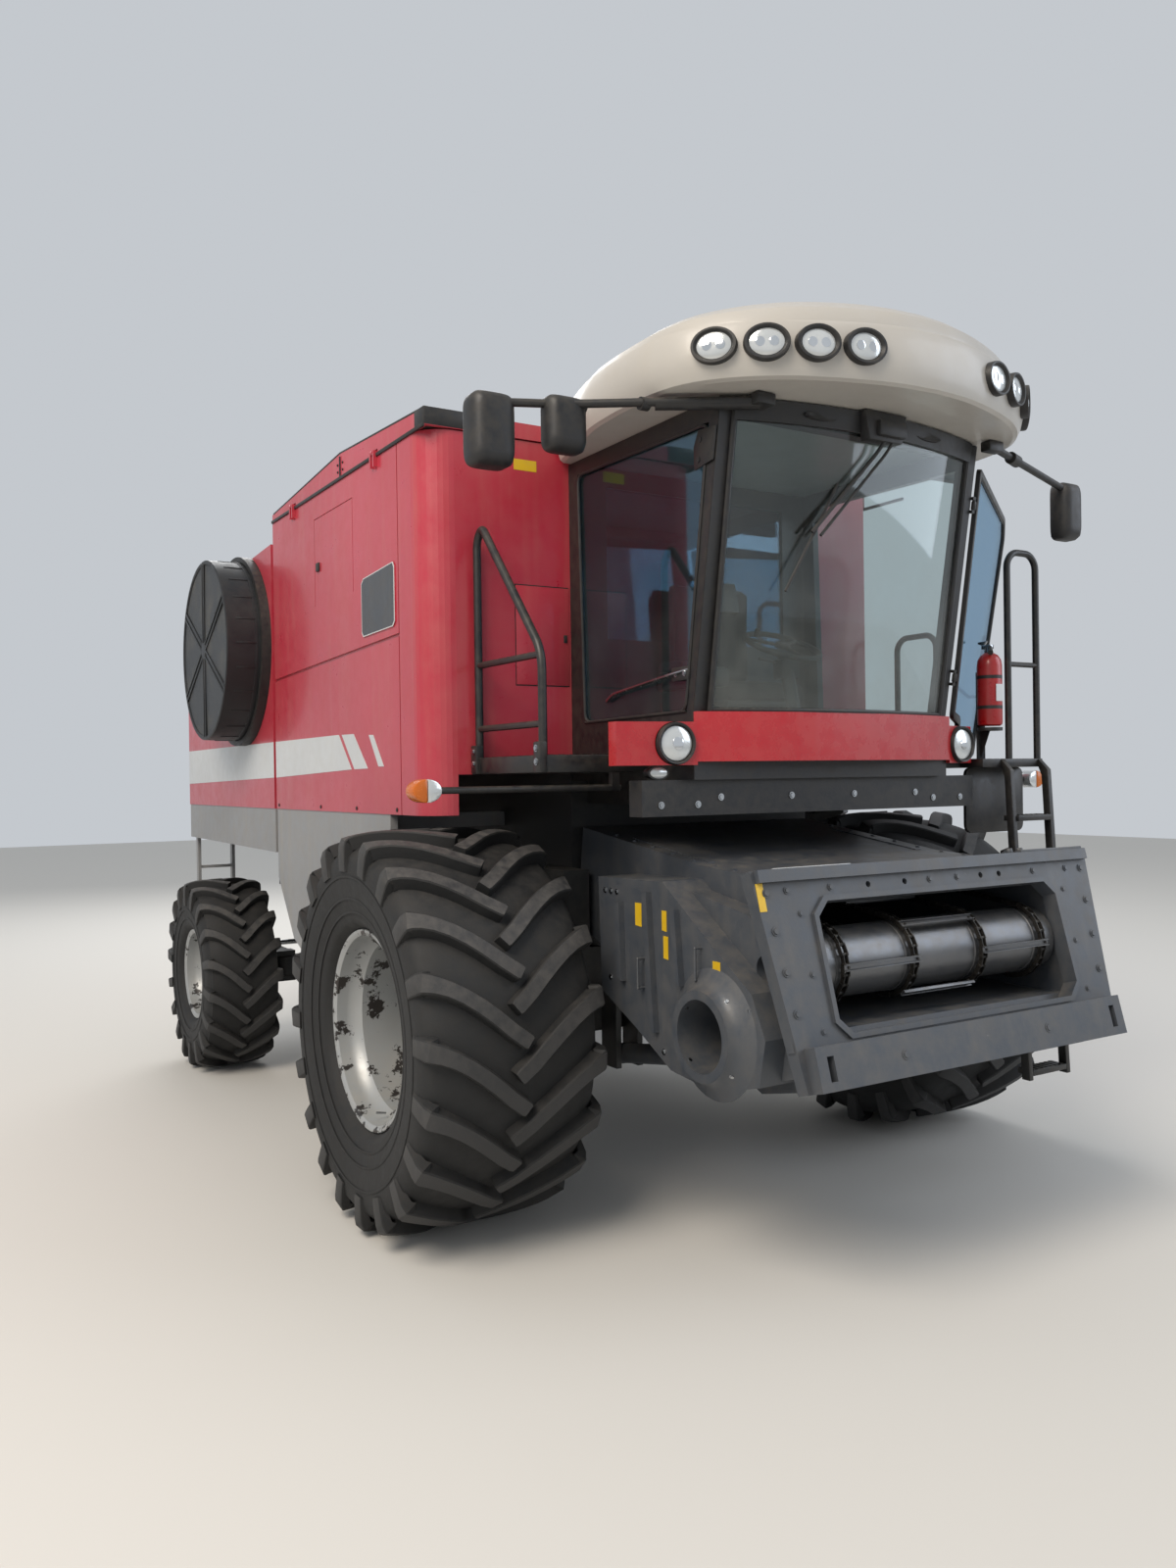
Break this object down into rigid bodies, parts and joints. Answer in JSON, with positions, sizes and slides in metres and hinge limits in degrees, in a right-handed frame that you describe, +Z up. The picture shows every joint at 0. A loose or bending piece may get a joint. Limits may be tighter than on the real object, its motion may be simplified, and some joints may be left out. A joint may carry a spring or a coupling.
{
  "type": "combine harvester",
  "caption": "Self-propelled grain combine without header: cab with visor roof, grain tank, feeder house with adapter frame, round air screen and lugged tyres.",
  "frame": {"origin": "on the ground, in the centre of the bounding box, between the wheels", "axes": "+X to the machine's left where the cab door is, +Y to the rear, +Z up; the feeder house points to -Y"},
  "size_m": [4, 7.3, 4.195],
  "materials": {
    "dark_frame": "satin dark paint with dust",
    "tank_steel": "worn grey paint",
    "red_paint": "faded red paint",
    "red_gloss": "gloss red paint",
    "silver_grey_paint": "silver grey paint",
    "engine_iron": "cast",
    "black_plastic": "matt",
    "black_screen": "black mesh",
    "steel_rod": "polished rod",
    "rim_silver": "chipped silver paint",
    "tyre": "dusty rubber",
    "black_frame": "satin black",
    "roof_cream": "cream gloss",
    "cab_glass": "tinted",
    "seat_fabric": "woven grey",
    "lamp_glass": "clear lens",
    "extinguisher_red": "gloss red",
    "slate_paint": "slate grey paint",
    "drum_steel": "worn steel",
    "chain_steel": "oily steel"
  },
  "bodies": {
    "base": {"chassis": "dark_frame", "separator_housing": "dark_frame", "grain_tank": "tank_steel", "tank_front": "red_paint", "front_side_panels": "red_paint", "rear_side_panels": "red_paint", "lower_skirts": "silver_grey_paint", "rear_hood": "red_paint", "engine": "engine_iron", "screen_housing": "black_plastic", "straw_chopper": "dark_frame", "rear_ladder": "silver_grey_paint", "auger_turret": "red_paint", "rear_axle": "dark_frame", "cab_floor_frame": "black_frame", "cab_frame": "black_frame", "cab_roof": "roof_cream", "cab_glass": "cab_glass", "operator_station": "seat_fabric", "cab_bumper": "red_gloss", "lamps": "lamp_glass", "mirrors": "black_plastic", "platforms": "black_frame", "fire_extinguisher": "extinguisher_red", "signal_arms": "black_frame"},
    "screen": {"rotary_screen": "black_screen"},
    "cover_right": {"tank_cover_right": "red_paint"},
    "cover_left": {"tank_cover_left": "red_paint"},
    "auger": {"unloading_auger": "red_paint"},
    "steer_right": {"knuckle_right": "dark_frame"},
    "steer_left": {"knuckle_left": "dark_frame"},
    "tie": {"tie_rod": "steel_rod"},
    "wheel_front_right": {"rim_front_right": "rim_silver", "tyre_front_right": "tyre"},
    "wheel_front_left": {"rim_front_left": "rim_silver", "tyre_front_left": "tyre"},
    "wheel_rear_right": {"rim_rear_right": "rim_silver", "tyre_rear_right": "tyre"},
    "wheel_rear_left": {"rim_rear_left": "rim_silver", "tyre_rear_left": "tyre"},
    "door": {"cab_door": "cab_glass"},
    "feeder": {"feeder_house": "slate_paint", "adapter_frame": "slate_paint", "feeder_chain": "chain_steel", "drive_shield": "slate_paint"},
    "drum": {"feeder_drum": "drum_steel"},
    "lift_barrel": {"lift_barrels": "slate_paint"},
    "lift_rod": {"lift_rods": "steel_rod"}
  },
  "joints": [
    {"name": "front_right_wheel", "type": "hinge", "parent": "base", "child": "wheel_front_right", "pos_m": [-1.5625, -1.6, 0.945], "axis": [1, 0, 0], "continuous": true},
    {"name": "front_left_wheel", "type": "hinge", "parent": "base", "child": "wheel_front_left", "pos_m": [1.5625, -1.6, 0.945], "axis": [1, 0, 0], "continuous": true},
    {"name": "steer_right", "type": "hinge", "parent": "base", "child": "steer_right", "pos_m": [-1.15, 2.16, 0.7], "axis": [0, 0, 1], "range_deg": [-30, 30]},
    {"name": "steer_left", "type": "hinge", "parent": "base", "child": "steer_left", "pos_m": [1.15, 2.16, 0.7], "axis": [0, 0, 1], "range_deg": [-30, 30]},
    {"name": "rear_right_wheel", "type": "hinge", "parent": "steer_right", "child": "wheel_rear_right", "pos_m": [-1.63, 2.16, 0.7], "axis": [1, 0, 0], "continuous": true},
    {"name": "rear_left_wheel", "type": "hinge", "parent": "steer_left", "child": "wheel_rear_left", "pos_m": [1.63, 2.16, 0.7], "axis": [1, 0, 0], "continuous": true},
    {"name": "tie_rod_slide", "type": "slide", "parent": "base", "child": "tie", "axis": [1, 0, 0], "range_m": [-0.14, 0.14]},
    {"name": "feeder_lift", "type": "hinge", "parent": "base", "child": "feeder", "pos_m": [0, -1.71, 1.6], "axis": [-1, 0, 0], "range_deg": [-13, 8]},
    {"name": "feeder_drum_spin", "type": "hinge", "parent": "feeder", "child": "drum", "pos_m": [0, -3.28, 1.35], "axis": [1, 0, 0], "continuous": true},
    {"name": "lift_barrel_pivot", "type": "hinge", "parent": "base", "child": "lift_barrel", "pos_m": [0, -1.81, 0.7], "axis": [-1, 0, 0], "range_deg": [-13.5, 8.5]},
    {"name": "lift_rod_slide", "type": "slide", "parent": "lift_barrel", "child": "lift_rod", "axis": [0, -0.9858, 0.1678], "range_m": [-0.206, 0.127]},
    {"name": "screen_spin", "type": "hinge", "parent": "base", "child": "screen", "pos_m": [-1.75, 1.52, 3.05], "axis": [1, 0, 0], "continuous": true},
    {"name": "tank_cover_right_lid", "type": "hinge", "parent": "base", "child": "cover_right", "pos_m": [-1.624, -0.4, 3.846], "axis": [0, -1, 0], "range_deg": [0, 100]},
    {"name": "tank_cover_left_lid", "type": "hinge", "parent": "base", "child": "cover_left", "pos_m": [1.624, -0.4, 3.846], "axis": [0, 1, 0], "range_deg": [0, 100]},
    {"name": "unloading_auger_swing", "type": "hinge", "parent": "base", "child": "auger", "pos_m": [1.79, -0.8, 3.44], "axis": [0, 0, -1], "range_deg": [0, 100]},
    {"name": "cab_door_hinge", "type": "hinge", "parent": "base", "child": "door", "pos_m": [0.818, -2.74, 2.43], "axis": [0, -0.1582, 0.9874], "range_deg": [0, 58]}
  ],
  "couplings": [
    {"joint": "steer_left", "follows": "steer_right", "ratio": 1},
    {"joint": "tie_rod_slide", "follows": "steer_right", "m_per_rad": -0.26},
    {"joint": "lift_barrel_pivot", "follows": "feeder_lift", "ratio": 1},
    {"joint": "lift_rod_slide", "follows": "feeder_lift", "m_per_rad": 0.904}
  ]
}
